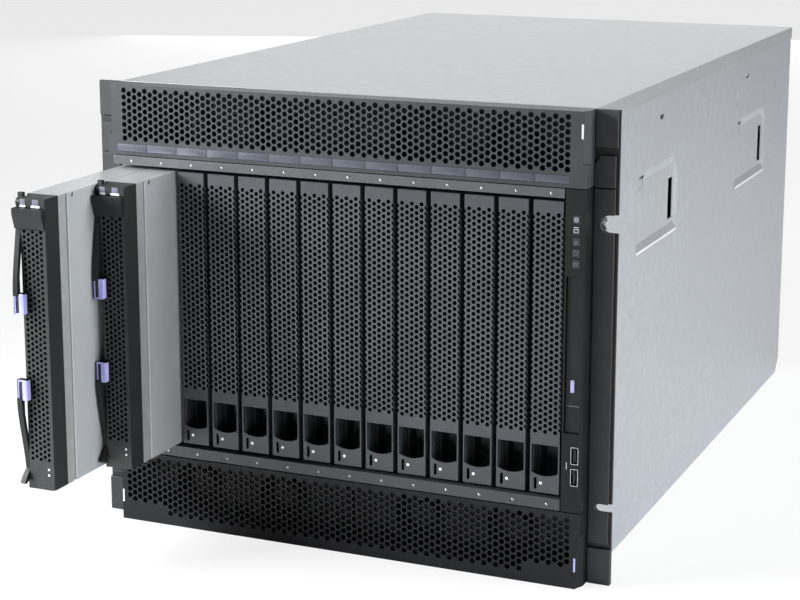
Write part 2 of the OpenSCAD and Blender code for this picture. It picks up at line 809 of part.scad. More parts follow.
// Room left beside the outermost module, under and over the modules, and between their rows
side_room = 5.3;
module_foot = 74;
vent_room = 79;
row_gap = 6;
module_x0 = divider_x + divider_t + 2;
module_step = (in_x - side_room - module_x0) / 4;
module_w = module_step - module_gap;
module_h = (cover_z - vent_room - rear_slope - module_foot - row_gap) / 2;
module_rows = [rear_slope + module_foot, rear_slope + module_foot + module_h + row_gap];
// Room under, over and between the blowers
blower_foot = 30;
blower_top = 35;
blower_gap = 8;
blower_h = (cover_z - blower_top - rear_slope - blower_foot - blower_gap) / 2;
blower_z = [rear_slope + blower_foot, rear_slope + blower_foot + blower_h + blower_gap];
wheel_d = min(blower_w, blower_h) - wheel_room;
module_d = rear_y - midplane_y - midplane_t - 12;

// Middle of column k of the upright bays, counted outwards from the blowers
function column_x(k) = module_x0 + (k + 0.5) * module_step;

module bay_window(x, z, w, h) {
    translate([x - w / 2 - 2 * play, z - 2 * play]) square([w + 4 * play, h + 4 * play]);
}

// Vent fields beside the upper blower, above the upright bays
vent_x = [divider_x + 6, in_x - 6];
vent_z = [module_rows[1] + module_h + 8, cover_z - 6];
vent_hole_d = 5;
vent_step = 8;

module rear_frame() {
    color("silver") facing(rear_y - sheet, sheet) difference() {
        translate([-in_x, rear_slope + sheet]) square([2 * in_x, cover_z - rear_slope - sheet]);
        for (z = blower_z) bay_window(0, z, blower_w, blower_h);
        for (z = module_rows) for (s = [-1, 1])
            bay_window(s * column_x(1.5), z, 3 * module_step + module_w, module_h);
        for (s = [-1, 1]) bay_window(s * column_x(1.5), rear_slope + 20, inlet_w, inlet_h);
        mirrored_2d() translate([vent_x[0] - play, vent_z[0] - play])
            square([vent_x[1] - vent_x[0] + 2 * play, vent_z[1] - vent_z[0] + 2 * play]);
    }
}

module rear_grille() {
    grid = grid_places(vent_x[0], vent_x[1], vent_z[0] + 4, vent_z[1] - 4, vent_step);
    color("silver") mirrored() facing(rear_y - sheet, sheet) difference() {
        translate([vent_x[0], vent_z[0]]) square([vent_x[1] - vent_x[0], vent_z[1] - vent_z[0]]);
        for (p = grid) translate(p) circle(d = vent_hole_d, $fn = 6);
    }
}

// Shelf of the rear bays, just under a module at height z
module rear_shelf(x, z) {
    box(x, [midplane_y + midplane_t, rear_y - sheet], [z - play - divider_t, z - play]);
}

module rear_dividers() {
    color("silver") {
        mirrored() {
            box([divider_x, divider_x + divider_t], [midplane_y + midplane_t, rear_y - sheet],
                [blower_z[0] - play - divider_t, bay_z1]);
            for (z = module_rows) rear_shelf([divider_x + divider_t + fold, in_x], z);
        }
        for (z = blower_z) rear_shelf([fold - divider_x, divider_x - fold], z);
    }
}

// Bays that hold a module: column, row and side
network_bay = [0, 1, -1];
management_bay = [3, 1, 1];

// Blanking plates in the bays that hold no module
module rear_fillers() {
    filled = [network_bay, management_bay];
    color("gray") for (s = [-1, 1]) for (r = [0, 1]) for (k = [0:3])
        if (len([for (f = filled) if (f == [k, r, s]) f]) == 0)
            translate([s * column_x(k), 0, module_rows[r]]) {
                box([-module_w / 2, module_w / 2], [rear_y - 4, rear_y - 1], [0, module_h]);
                box([-5, 5], [rear_y - 1, rear_y + 8], [module_h / 2 - 1, module_h / 2 + 1]);
            }
}

inlet_w = 34;
inlet_h = 27;
port_w = 14;
port_h = 11;

// Sockets for the power cords, each with three flat pins
module power_inlets() {
    color("black") for (s = [-1, 1]) translate([s * column_x(1.5), 0, rear_slope + 20]) {
        difference() {
            box([-inlet_w / 2, inlet_w / 2], [rear_y - 30, rear_y + 1.5], [0, inlet_h]);
            box([-inlet_w / 2 + 3, inlet_w / 2 - 3], [rear_y - 20, rear_y + 3], [3, inlet_h - 3]);
        }
        for (p = [[-8, 6], [0, 11], [8, 6]])
            translate([p[0] - 2.5, rear_y - 21, p[1] - 1]) cube([5, 16, 2]);
    }
}

wheel_w = 52;
guard_t = 3;
hub_d = 44;
ring_step = 13;
ring_w = 2;
blower_y0 = midplane_y + midplane_t + 60;
bore_d = wheel_d + 12;
duct_d = 90;
grip_h = 96;
grip_d = 10;

// Guard over the blower's outlet: a hub, rings and three spokes across
module guard() {
    windows = floor((bore_d - hub_d) / 2 / ring_step);
    linear_extrude(guard_t) difference() {
        circle(d = bore_d + 1, $fn = 64);
        difference() {
            for (k = [0:windows - 1]) difference() {
                circle(r = hub_d / 2 + (k + 1) * ring_step - ring_w, $fn = 64);
                circle(r = hub_d / 2 + k * ring_step, $fn = 64);
            }
            for (a = [0, 60, 120]) rotate(a) square([bore_d, 3], center = true);
        }
    }
}

module blower(z) {
    color("gray") {
        translate([0, 0, z + blower_h / 2]) difference() {
            box([-blower_w / 2, blower_w / 2], [blower_y0, rear_y], [-blower_h / 2, blower_h / 2]);
            translate([0, rear_y - wheel_w - 16, 0]) rotate([-90, 0, 0])
                cylinder(h = wheel_w + 40, d = bore_d, $fn = 64);
            translate([0, blower_y0 - 1, 0]) rotate([-90, 0, 0])
                cylinder(h = rear_y - blower_y0, d = duct_d, $fn = 64);
        }
        translate([0, rear_y, z + blower_h / 2]) rotate([90, 0, 0]) guard();
        // Upright grip beside the outlet
        translate([blower_w / 2 - 5, 0, z + blower_h / 2])
            box([-3, 3], [rear_y - 1, rear_y + grip_d], [-grip_h / 2, grip_h / 2]);
    }
}

module wheel(z) {
    color("dimgray") translate([0, rear_y - guard_t - 1 - wheel_w, z + blower_h / 2]) rotate([-90, 0, 0]) {
        cylinder(h = 2, d = wheel_d - 34, $fn = 64);
        cylinder(h = wheel_w + 1 - play, d = hub_d - 6);
        difference() {
            cylinder(h = 3, d = wheel_d, $fn = 64);
            translate([0, 0, -1]) cylinder(h = 5, d = wheel_d - 36, $fn = 64);
        }
        for (a = [0:360 / wheel_blades:359]) rotate(a) translate([wheel_d / 2 - 16, 0, 0]) rotate(28)
            cube([14, 1.2, wheel_w - 4]);
    }
}

// Depth of the rear modules' handles behind their plates
handle_d = 13;
port_d = 12;

module rear_module(bay) {
    translate([bay[2] * column_x(bay[0]), 0, module_rows[bay[1]]]) children();
}

// Places of the network ports above the module's foot
network_port_z = [14, 34];

module network_module() {
    color("darkgray") rear_module(network_bay) {
        difference() {
            box([-module_w / 2, module_w / 2], [rear_y - module_d, rear_y + 1], [0, module_h]);
            for (z = network_port_z)
                box([-port_w / 2, port_w / 2], [rear_y + 1 - port_d, rear_y + 2], [z, z + port_h]);
        }
        // Pull tab
        box([-module_w / 2 + 4, module_w / 2 - 4], [rear_y, rear_y + handle_d],
            [module_h - 9, module_h - 6]);
    }
}

module management_module() {
    color("dimgray") rear_module(management_bay) {
        difference() {
            box([-module_w / 2, module_w / 2], [rear_y - module_d, rear_y + 1], [0, module_h]);
            box([-port_w / 2, port_w / 2], [rear_y + 1 - port_d, rear_y + 2], [8, 8 + port_h]);
        }
        // Display connector and serial connector
        box([-9, 0], [rear_y, rear_y + 6], [27, 47]);
        box([-9, 0], [rear_y, rear_y + 6], [54, 70]);
        // Upright pull handle
        difference() {
            box([module_w / 2 - 10, module_w / 2 - 4], [rear_y, rear_y + 1 + handle_d],
                [module_h - 68, module_h - 1]);
            box([module_w / 2 - 11, module_w / 2 - 3], [rear_y + 1, rear_y - 4 + handle_d],
                [module_h - 62, module_h - 7]);
        }
    }
}

module upper_blower() { blower(blower_z[1]); }
module lower_blower() { blower(blower_z[0]); }
module upper_wheel() { wheel(blower_z[1]); }
module lower_wheel() { wheel(blower_z[0]); }

base_plate();
left_side();
right_side();
top_cover();
bay_ceiling();
bay_floor();
lower_guides();
upper_guides();
midplane();
midplane_connectors();
tray_wall();
upper_rail();
lower_rail();
left_ear();
right_ear();
left_ear_covers();
right_ear_covers();
power_modules();
rear_frame();
rear_grille();
rear_dividers();
rear_fillers();
power_inlets();
upper_bezel();
lower_bezel();
media_tray();
status_windows();
optical_drive();
disc_drawer();
eject_button();
for (i = [1, 2]) {
    blade_shell(i);
    blade_cover(i);
    blade_board(i);
    blade_bezel(i);
    upper_lever(i);
    lower_lever(i);
}
upper_blower();
lower_blower();
upper_wheel();
lower_wheel();
network_module();
management_module();
for (i = [3:14]) filler(i);
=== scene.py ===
import json
import math
import bmesh
import bpy
import numpy as np
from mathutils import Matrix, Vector


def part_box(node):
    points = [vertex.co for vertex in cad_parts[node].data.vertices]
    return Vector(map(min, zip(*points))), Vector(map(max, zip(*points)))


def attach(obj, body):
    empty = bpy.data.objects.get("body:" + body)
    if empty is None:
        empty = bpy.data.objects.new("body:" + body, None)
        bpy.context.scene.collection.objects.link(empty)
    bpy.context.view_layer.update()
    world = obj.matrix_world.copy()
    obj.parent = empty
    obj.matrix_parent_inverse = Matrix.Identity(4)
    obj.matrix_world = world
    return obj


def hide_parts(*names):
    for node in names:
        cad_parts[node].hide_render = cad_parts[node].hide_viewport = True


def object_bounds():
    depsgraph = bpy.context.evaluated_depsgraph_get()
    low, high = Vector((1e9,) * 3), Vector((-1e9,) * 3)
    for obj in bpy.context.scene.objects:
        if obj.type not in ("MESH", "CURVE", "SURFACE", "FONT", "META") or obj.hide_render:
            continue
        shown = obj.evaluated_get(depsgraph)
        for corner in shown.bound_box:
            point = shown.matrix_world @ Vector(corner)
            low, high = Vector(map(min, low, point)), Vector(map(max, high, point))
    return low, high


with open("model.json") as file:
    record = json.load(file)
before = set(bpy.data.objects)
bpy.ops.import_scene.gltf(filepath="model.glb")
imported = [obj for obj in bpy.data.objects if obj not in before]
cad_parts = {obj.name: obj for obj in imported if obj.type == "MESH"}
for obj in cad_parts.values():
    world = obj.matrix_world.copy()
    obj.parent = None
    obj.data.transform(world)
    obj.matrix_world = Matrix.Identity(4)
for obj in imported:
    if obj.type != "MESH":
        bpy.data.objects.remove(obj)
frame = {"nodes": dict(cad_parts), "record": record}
lowest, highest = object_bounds()
nodes = frame["nodes"]
record = frame["record"]
bodyOf = {node: body for body, held in record["behaviour"]["bodies"].items() for node in held}
slotOf = {entry["node"]: entry["material_slot"] for entry in record["subparts"]}

# Camera
view = {"azimuth": 23.46, "elevation": 11.76, "distance": 1.8661, "focal": 87.76,
        "target": (-0.03558, -0.160, 0.23732), "shift": -0.08}
turn, lift = math.radians(view["azimuth"]), math.radians(view["elevation"])
back = Vector((math.sin(turn) * math.cos(lift), -math.cos(turn) * math.cos(lift), math.sin(lift)))
camera = bpy.data.objects.new("camera", bpy.data.cameras.new("camera"))
bpy.context.collection.objects.link(camera)
camera.data.sensor_width = 36
camera.data.lens = view["focal"]
camera.data.shift_y = view["shift"]
camera.data.clip_end = 60
camera.location = Vector(view["target"]) + back * view["distance"]
camera.rotation_mode = "QUATERNION"
camera.rotation_quaternion = (-back).to_track_quat("-Z", "Y")
bpy.context.scene.camera = camera
bpy.context.scene.view_settings.view_transform = "Standard"
print("camera set")


# Linear colour of three screen levels from 0 to 255
def tone(red, green, blue):
    levels = np.array([red, green, blue]) / 255
    linear = np.where(levels <= 0.04045, levels / 12.92, ((levels + 0.055) / 1.055) ** 2.4)
    return (*linear.tolist(), 1)


# Node graph with shorthand for adding nodes and joining sockets
class Graph:
    def __init__(self, tree):
        self.tree = tree

    def add(self, kind, inputs=None, **settings):
        node = self.tree.nodes.new(kind)
        for name, value in settings.items():
            setattr(node, name, value)
        for name, value in (inputs or {}).items():
            if isinstance(value, bpy.types.NodeSocket):
                self.tree.links.new(value, node.inputs[name])
            else:
                node.inputs[name].default_value = value
        return node

    def join(self, source, target):
        self.tree.links.new(source, target)

    # Noise on object coordinates, stretched per axis, as a socket from 0 to 1
    def noise(self, scale, stretch=(1, 1, 1), detail=3, rough=0.55):
        place = self.add("ShaderNodeTexCoord").outputs["Object"]
        spread = self.add("ShaderNodeMapping", {"Vector": place, "Scale": stretch}).outputs[0]
        return self.add("ShaderNodeTexNoise", {"Vector": spread, "Scale": scale, "Detail": detail,
                                               "Roughness": rough}).outputs["Fac"]

    # Random level per crystal of hot-dipped zinc
    def spangle(self, scale):
        place = self.add("ShaderNodeTexCoord").outputs["Object"]
        cells = self.add("ShaderNodeTexVoronoi", {"Vector": place, "Scale": scale})
        return self.add("ShaderNodeSeparateColor", {"Color": cells.outputs["Color"]}).outputs[0]

    def remap(self, level, low, high, start=0.0, end=1.0):
        return self.add("ShaderNodeMapRange", {"Value": level, "From Min": start, "From Max": end,
                                               "To Min": low, "To Max": high}).outputs[0]

    def mix(self, level, first, second):
        blend = self.add("ShaderNodeMix", data_type="RGBA")
        for socket, value in ((blend.inputs[0], level), (blend.inputs[6], first), (blend.inputs[7], second)):
            if isinstance(value, bpy.types.NodeSocket):
                self.join(value, socket)
            else:
                socket.default_value = value
        return blend.outputs[2]

    # One number from two, by the named operation
    def combine(self, first, second, operation):
        return self.add("ShaderNodeMath", {0: first, 1: second}, operation=operation).outputs[0]

    # Part of a ray that meets the plain white background: all that the eye sees, a little in gloss
    def plainShare(self, gloss=0.06):
        path = self.add("ShaderNodeLightPath").outputs
        shine = self.combine(path["Is Glossy Ray"], gloss, "MULTIPLY")
        clear = self.combine(shine, path["Is Transmission Ray"], "MAXIMUM")
        return self.combine(clear, path["Is Camera Ray"], "MAXIMUM")

    def bump(self, level, strength, distance):
        return self.add("ShaderNodeBump", {"Height": level, "Strength": strength,
                                           "Distance": distance}).outputs[0]


# Empty material with a Principled shader
def newMaterial(name):
    material = bpy.data.materials.new(name)
    material.use_nodes = True
    graph = Graph(material.node_tree)
    return material, graph, material.node_tree.nodes["Principled BSDF"].inputs


# Rolled sheet coated in zinc: crystals, a rolling grain and slow stains
def zincSheet(name, dark, light, metal=0.8, rough=0.42, cell=170, grain=1.0):
    material, graph, shader = newMaterial(name)
    crystals = graph.spangle(cell)
    stains = graph.noise(7, detail=4)
    rolled = graph.noise(900, (0.03, 0.03, 1), detail=2)
    level = graph.combine(crystals, stains, "MULTIPLY")
    graph.join(graph.mix(graph.remap(level, 0, 1, 0.2, 0.5), dark, light), shader["Base Color"])
    clouds = graph.noise(60, detail=5)
    graph.join(graph.remap(clouds, rough - 0.01, rough + 0.015, 0.3, 0.7), shader["Roughness"])
    graph.join(graph.bump(rolled, 0.05 * grain, 0.0001), shader["Normal"])
    shader["Metallic"].default_value = metal
    return material


# Spark-eroded moulded plastic: fine pits and a slight unevenness of shine
def mouldedPlastic(name, colour, pale, rough=0.5, grain=0.35, scale=1500, specular=0.5):
    material, graph, shader = newMaterial(name)
    pits = graph.noise(scale, detail=2, rough=0.4)
    cloud = graph.noise(22, detail=4)
    graph.join(graph.mix(graph.remap(cloud, 0, 1, 0.3, 0.7), colour, pale), shader["Base Color"])
    graph.join(graph.remap(pits, rough - 0.05, rough + 0.08, 0.3, 0.7), shader["Roughness"])
    graph.join(graph.bump(pits, grain, 0.0001), shader["Normal"])
    shader["Specular IOR Level"].default_value = specular
    return material


# Powder coat: orange peel over a speckle of the powder
def powderCoat(name, colour, pale, rough=0.45, peel=0.25, specular=0.5):
    material, graph, shader = newMaterial(name)
    waves = graph.noise(700, detail=2, rough=0.4)
    speck = graph.noise(2600, detail=1)
    cloud = graph.noise(15, detail=4)
    level = graph.combine(speck, cloud, "MULTIPLY")
    graph.join(graph.mix(graph.remap(level, 0, 1, 0.1, 0.4), colour, pale), shader["Base Color"])
    graph.join(graph.bump(waves, peel, 0.0001), shader["Normal"])
    graph.join(graph.remap(waves, rough - 0.04, rough + 0.06, 0.3, 0.7), shader["Roughness"])
    shader["Specular IOR Level"].default_value = specular
    return material


# Turned or brushed bare metal
def bareMetal(name, dark, light, rough=0.3, stretch=(1, 1, 0.05), scale=1200):
    material, graph, shader = newMaterial(name)
    scratches = graph.noise(scale, stretch, detail=3)
    graph.join(graph.mix(graph.remap(scratches, 0, 1, 0.3, 0.7), dark, light), shader["Base Color"])
    graph.join(graph.remap(scratches, rough - 0.06, rough + 0.1, 0.3, 0.7), shader["Roughness"])
    graph.join(graph.bump(scratches, 0.15, 0.0001), shader["Normal"])
    shader["Metallic"].default_value = 1
    return material


# Fibreglass board under green solder mask, with the weave and the tracks just showing
def circuitBoard(name):
    material, graph, shader = newMaterial(name)
    place = graph.add("ShaderNodeTexCoord").outputs["Object"]
    weave = graph.add("ShaderNodeTexBrick", {"Vector": place, "Scale": 260, "Mortar Size": 0.01}).outputs["Fac"]
    tracks = graph.noise(160, (0.15, 1, 1), detail=0)
    level = graph.remap(tracks, 0, 1, 0.46, 0.54)
    graph.join(graph.mix(level, tone(16, 74, 44), tone(30, 104, 62)), shader["Base Color"])
    graph.join(graph.bump(weave, 0.2, 0.0001), shader["Normal"])
    graph.join(graph.remap(tracks, 0.25, 0.4), shader["Roughness"])
    return material


# Glowing dome: a lens that glows a little, with a painted highlight that makes it brighter at its middle, where it
# faces the eye
def glowingDomeLens(name, colour, strength):
    material, graph, shader = newMaterial(name)
    facing = graph.add("ShaderNodeLayerWeight", {"Blend": 0.4}).outputs["Facing"]
    glow = graph.mix(facing, colour, tuple(c * 0.4 for c in colour[:3]) + (1,))
    graph.join(glow, shader["Base Color"])
    graph.join(glow, shader["Emission Color"])
    shader["Emission Strength"].default_value = strength
    shader["Roughness"].default_value = 0.2
    return material


looks = {
    "zinc_sheet": zincSheet("zincSheet", tone(186, 191, 197), tone(192, 197, 203)),
    "cover_sheet": zincSheet("coverSheet", tone(172, 174, 176), tone(177, 179, 181), rough=0.5, cell=140),
    "rail_metal": powderCoat("railPaint", tone(70, 72, 76), tone(84, 86, 90), rough=0.4),
    # Ear plates nearly black: painted shade in the grooves between the ear covers
    "ear_metal": powderCoat("earPlatePaintedShade", tone(16, 17, 20), tone(24, 25, 28)),
    "black_moulding": mouldedPlastic("blackMoulding", tone(50, 52, 57), tone(60, 62, 67)),
    "filler_paint": mouldedPlastic("fillerPaint", tone(58, 61, 66), tone(68, 71, 77), rough=0.42),
    "guide_plastic": mouldedPlastic("guidePlastic", tone(70, 70, 74), tone(84, 84, 88), rough=0.6),
    "circuit_board": circuitBoard("circuitBoard"),
    "connector_plastic": mouldedPlastic("connectorPlastic", tone(36, 36, 38), tone(46, 46, 48), rough=0.45),
    "window_plastic": mouldedPlastic("windowPlastic", tone(44, 47, 54),
                                     tone(54, 57, 64), rough=0.18, grain=0.05),
    "drive_case": zincSheet("driveCase", tone(170, 170, 172), tone(196, 196, 198), rough=0.35, cell=400),
    "drawer_plastic": mouldedPlastic("drawerPlastic", tone(18, 20, 22),
                                     tone(24, 26, 28), rough=0.4, specular=0.3),
    "button_plastic": mouldedPlastic("buttonPlastic", tone(150, 150, 196), tone(168, 168, 210), rough=0.4),
    "blade_sheet": zincSheet("bladeSheet", tone(200, 204, 206), tone(208, 211, 213), metal=0.6, rough=0.38),
    "blade_panel": powderCoat("bladePanel", tone(156, 161, 165), tone(172, 176, 180), rough=0.42),
    "blade_moulding": mouldedPlastic("bladeMoulding", tone(30, 34, 34), tone(38, 42, 43), rough=0.4),
    "lever_plastic": mouldedPlastic("leverPlastic", tone(20, 23, 24),
                                    tone(27, 30, 32), rough=0.5, specular=0.3),
    "blower_paint": powderCoat("blowerPaint", tone(92, 94, 98), tone(108, 110, 114)),
    "wheel_plastic": mouldedPlastic("wheelPlastic", tone(40, 40, 42), tone(52, 52, 54), rough=0.5),
    "module_sheet": zincSheet("moduleSheet", tone(160, 163, 168), tone(190, 193, 197), rough=0.36),
}


# Power modules: front 3 cm coloured near black and not metallic, a painted shade seen through the bezel holes; sheet
# metal behind it
def modulesWithShadedFront():
    material = zincSheet("powerCaseShadedFront", tone(150, 152, 156), tone(180, 182, 186), rough=0.4)
    graph = Graph(material.node_tree)
    shader = material.node_tree.nodes["Principled BSDF"]
    place = graph.add("ShaderNodeTexCoord").outputs["Object"]
    depth = graph.add("ShaderNodeSeparateXYZ", {0: place}).outputs["Y"]
    # Mask that is 0 over the front 3 cm, which carries the painted shade
    behind = graph.remap(depth, 0, 1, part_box("power_modules")[0][1] + 0.03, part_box("power_modules")[0][1] + 0.031)
    metal = shader.inputs["Base Color"].links[0].from_socket
    graph.join(graph.mix(behind, tone(14, 14, 16), metal), shader.inputs["Base Color"])
    graph.join(graph.remap(behind, 0, 0.8), shader.inputs["Metallic"])
    return material


looks["power_case"] = modulesWithShadedFront()
extras = {
    "label": powderCoat("labelPrint", tone(66, 70, 80), tone(80, 85, 96), rough=0.35, peel=0.1),
    "silverPrint": powderCoat("silverPrint", tone(205, 208, 212),
                              tone(225, 227, 230), rough=0.35, peel=0.1),
    "lavender": mouldedPlastic("lavenderPlastic", tone(150, 152, 215), tone(178, 180, 235), rough=0.35),
    # Dark blue for the pad recesses: painted shade
    "recess": mouldedPlastic("padRecessPaintedShade", tone(26, 26, 44), tone(34, 34, 56), rough=0.5),
    "screw": bareMetal("screwSteel", tone(150, 150, 150), tone(215, 215, 215)),
    "spring": bareMetal("springSteel", tone(215, 217, 220), tone(245, 246, 248), rough=0.22),
    "glowWithPaintedHighlight": glowingDomeLens("glowWithPaintedHighlight", tone(225, 228, 230), 0.35),
    "grating": mouldedPlastic("gratingPlastic", tone(96, 96, 112), tone(116, 116, 134), rough=0.4),
    "sign": powderCoat("signPrint", tone(150, 154, 160), tone(176, 180, 186), rough=0.3, peel=0.05),
    "dimSign": powderCoat("dimSignPrint", tone(74, 77, 84), tone(88, 92, 99), rough=0.35, peel=0.05),
    "tab": mouldedPlastic("tabPlastic", tone(86, 92, 92), tone(96, 102, 102), rough=0.4),
    # Pale sheet for beads and seams: painted highlight along rims and folds
    "bead": zincSheet("paleEdgePaintedHighlight", tone(226, 228, 230), tone(238, 239, 240), metal=0.5, rough=0.3),
}
# Nodes given darker copies of their slot's material, each tone set to the shade that part lies in: painted shade
shadedCopyLooks = {
    "upper_bezel": mouldedPlastic("upperBezelShadedMoulding", tone(46, 48, 53), tone(55, 57, 62), specular=0.4),
    "lower_bezel": mouldedPlastic("lowerBezelShadedMoulding", tone(18, 19, 22), tone(24, 25, 28), specular=0.25),
    "media_tray": mouldedPlastic("trayShadedMoulding", tone(15, 16, 18), tone(21, 22, 24), specular=0.25),
    "right_ear_covers": mouldedPlastic("rightCoverShadedMoulding", tone(44, 46, 50), tone(53, 55, 60)),
    "left_ear_covers": mouldedPlastic("leftCoverShadedMoulding", tone(36, 38, 42),
                                      tone(44, 46, 50), specular=0.4),
    "lower_rail": powderCoat("lowerRailShadedPaint", tone(50, 52, 56), tone(60, 62, 66), rough=0.4),
}
for name, piece in nodes.items():
    piece.data.materials.clear()
    piece.data.materials.append(shadedCopyLooks.get(name, looks[slotOf[name]]))
print("materials made")


# Turned surface about the local Z axis: profile gives (radius, height) and may end on the axis
def turned(profile, sides=20):
    radii, heights = np.array(profile).T
    around = np.linspace(0, 2 * np.pi, sides, endpoint=False)
    grid = np.stack([np.outer(radii, np.cos(around)), np.outer(radii, np.sin(around)),
                     np.outer(heights, np.ones(sides))], axis=-1)
    return loft(grid)


# Closed skin over rings of points: quads between the rings, one face on each end
def loft(rings):
    count, sides = rings.shape[:2]
    first = np.arange(sides)
    following = np.roll(first, -1)
    quads = [np.stack([first + k * sides, following + k * sides, following + (k + 1) * sides,
                       first + (k + 1) * sides], axis=1) for k in range(count - 1)]
    faces = np.concatenate(quads).tolist() + [first[::-1].tolist(), (first + (count - 1) * sides).tolist()]
    return rings.reshape(-1, 3), faces


# Outline of a rectangle with round corners, drawn inwards by an inset
def roundedOutline(width, height, radius, inset=0.0, steps=4):
    quarter = np.linspace(0, np.pi / 2, steps + 1)
    signs = [(1, 1), (-1, 1), (-1, -1), (1, -1)]
    points = []
    for corner, (sx, sy) in enumerate(signs):
        angle = quarter + corner * np.pi / 2
        centre = np.array([sx * (width / 2 - radius), sy * (height / 2 - radius)])
        bend = max(radius - inset, radius * 0.02)
        points.append(centre + bend * np.stack([np.cos(angle), np.sin(angle)], axis=1))
    return np.concatenate(points)


# Plate with round corners and a round rim: inset e(1 - cos t), height h - e + e sin t
def slab(width, height, depth, radius, edge, steps=3):
    sweep = np.linspace(0, np.pi / 2, steps + 1)
    levels = [(0, 0.0)] + [(edge * (1 - math.cos(t)), depth - edge + edge * math.sin(t)) for t in sweep]
    rings = []
    for inset, level in levels:
        outline = roundedOutline(width, height, radius, inset)
        rings.append(np.column_stack([outline, np.full(len(outline), level)]))
    return loft(np.array(rings))


# Open sleeve: a round-cornered tube whose wall is drawn inwards, closed at both rims
def sleeve(width, height, depth, radius, wall):
    outer, inner = roundedOutline(width, height, radius), roundedOutline(width, height, radius, wall)
    inner = inner - np.sign(inner) * np.maximum(0, np.abs(inner) - [width / 2 - wall, height / 2 - wall])
    rings = np.array([np.column_stack([ring, np.full(len(ring), level)])
                      for ring, level in ((outer, 0), (outer, depth), (inner, depth), (inner, 0))])
    first = np.arange(len(outer))
    following = np.roll(first, -1)
    count = len(outer)
    quads = [np.stack([first + k * count, following + k * count, following + (k + 1) % 4 * count,
                       first + (k + 1) % 4 * count], axis=1) for k in range(4)]
    return rings.reshape(-1, 3), np.concatenate(quads).tolist()


# Prism over any outline, turned so that its faces point outwards
def prism(outline, depth):
    outline = np.array(outline, dtype=float)
    following = np.roll(outline, -1, axis=0)
    if np.sum(outline[:, 0] * following[:, 1] - outline[:, 1] * following[:, 0]) < 0:
        outline = outline[::-1]
    rings = [np.column_stack([outline, np.full(len(outline), level)]) for level in (0, depth)]
    return loft(np.array(rings))


# Moves a shape so that its local X, Y and Z lie along the given directions from the origin
def place(shape, origin, along, up):
    points, faces = shape
    along, up = np.array(along, dtype=float), np.array(up, dtype=float)
    return points @ np.array([along, up, np.cross(along, up)]) + np.array(origin), faces


facings = {"front": ((1, 0, 0), (0, 0, 1)), "right": ((0, 1, 0), (0, 0, 1)), "left": ((0, -1, 0), (0, 0, 1)),
           "rear": ((-1, 0, 0), (0, 0, 1)), "top": ((1, 0, 0), (0, 1, 0))}


def putOn(side, shape, origin):
    return place(shape, origin, *facings[side])


# One mesh object from several shapes, with smooth sides and crisp edges
def addPiece(name, shapes, material, body, bevel=0.0, crease=35):
    points, faces, start = [], [], 0
    for shape, corners in shapes:
        points.append(shape)
        faces += [[index + start for index in face] for face in corners]
        start += len(shape)
    mesh = bpy.data.meshes.new(name)
    mesh.from_pydata(np.concatenate(points).tolist(), [], faces)
    mesh.validate()
    mesh.polygons.foreach_set("use_smooth", [True] * len(mesh.polygons))
    mesh.set_sharp_from_angle(angle=math.radians(crease))
    mesh.materials.append(extras[material] if material in extras else looks[material])
    piece = bpy.data.objects.new(name, mesh)
    bpy.context.collection.objects.link(piece)
    if bevel:
        roundEdges(piece, bevel)
    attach(piece, body)
    return piece


def roundEdges(piece, width, segments=2):
    edges = piece.modifiers.new("edges", "BEVEL")
    edges.width = width
    edges.segments = segments
    edges.limit_method = "ANGLE"
    edges.angle_limit = math.radians(40)
    edges.harden_normals = True


# Copy of a CAD piece with merged corners and rounded edges, which stands for it
def finished(node, width):
    source = nodes[node]
    mesh = source.data.copy()
    mesh.name = node + "_finished"
    work = bmesh.new()
    work.from_mesh(mesh)
    bmesh.ops.remove_doubles(work, verts=work.verts, dist=1e-6)
    bmesh.ops.dissolve_limit(work, angle_limit=math.radians(1), verts=work.verts, edges=work.edges)
    work.to_mesh(mesh)
    work.free()
    mesh.polygons.foreach_set("use_smooth", [True] * len(mesh.polygons))
    mesh.set_sharp_from_angle(angle=math.radians(35))
    piece = bpy.data.objects.new(node + "_finished", mesh)
    bpy.context.collection.objects.link(piece)
    roundEdges(piece, width)
    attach(piece, bodyOf[node])
    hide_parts(node)
    return piece


edgeWidths = {"left_ear": 0.0003, "right_ear": 0.0003, "left_ear_covers": 0.0006, "right_ear_covers": 0.0006,
              "disc_drawer": 0.0003, "eject_button": 0.0003, "upper_rail": 0.0004, "lower_rail": 0.0004,
              "media_tray": 0.0004, "network_module": 0.0003, "management_module": 0.0003,
              "rear_fillers": 0.0004, "power_inlets": 0.0004}
for name, width in edgeWidths.items():
    finished(name, width)
for number in (1, 2):
    for part in ("upper", "lower"):
        finished(f"blade_{number}_{part}_lever", 0.0004)
print("edges rounded")

# Slots along the front: left edge of the first and step from one to the next
slotStep = 0.02995
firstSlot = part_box("upper_bezel")[0][0] + 0.0044
slotMiddles = [firstSlot + (k + 0.5) * slotStep for k in range(14)]

# Blank number labels in their recesses on the upper bezel
labels = {"width": 0.0289, "height": 0.0064, "depth": 0.00045, "corner": 0.0006, "edge": 0.00015,
          "bottom": 0.003, "sink": 0.0004, "shift": 0.0038}
bezelLow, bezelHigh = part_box("upper_bezel")
label = slab(labels["width"], labels["height"], labels["depth"], labels["corner"], labels["edge"])
labelShapes = [putOn("front", label,
                     (middle + labels["shift"], bezelLow[1] + labels["sink"] + 0.0001,
                      bezelLow[2] + labels["bottom"] + 0.0035)) for middle in slotMiddles]
addPiece("slot_labels", labelShapes, "label", "upper_bezel")

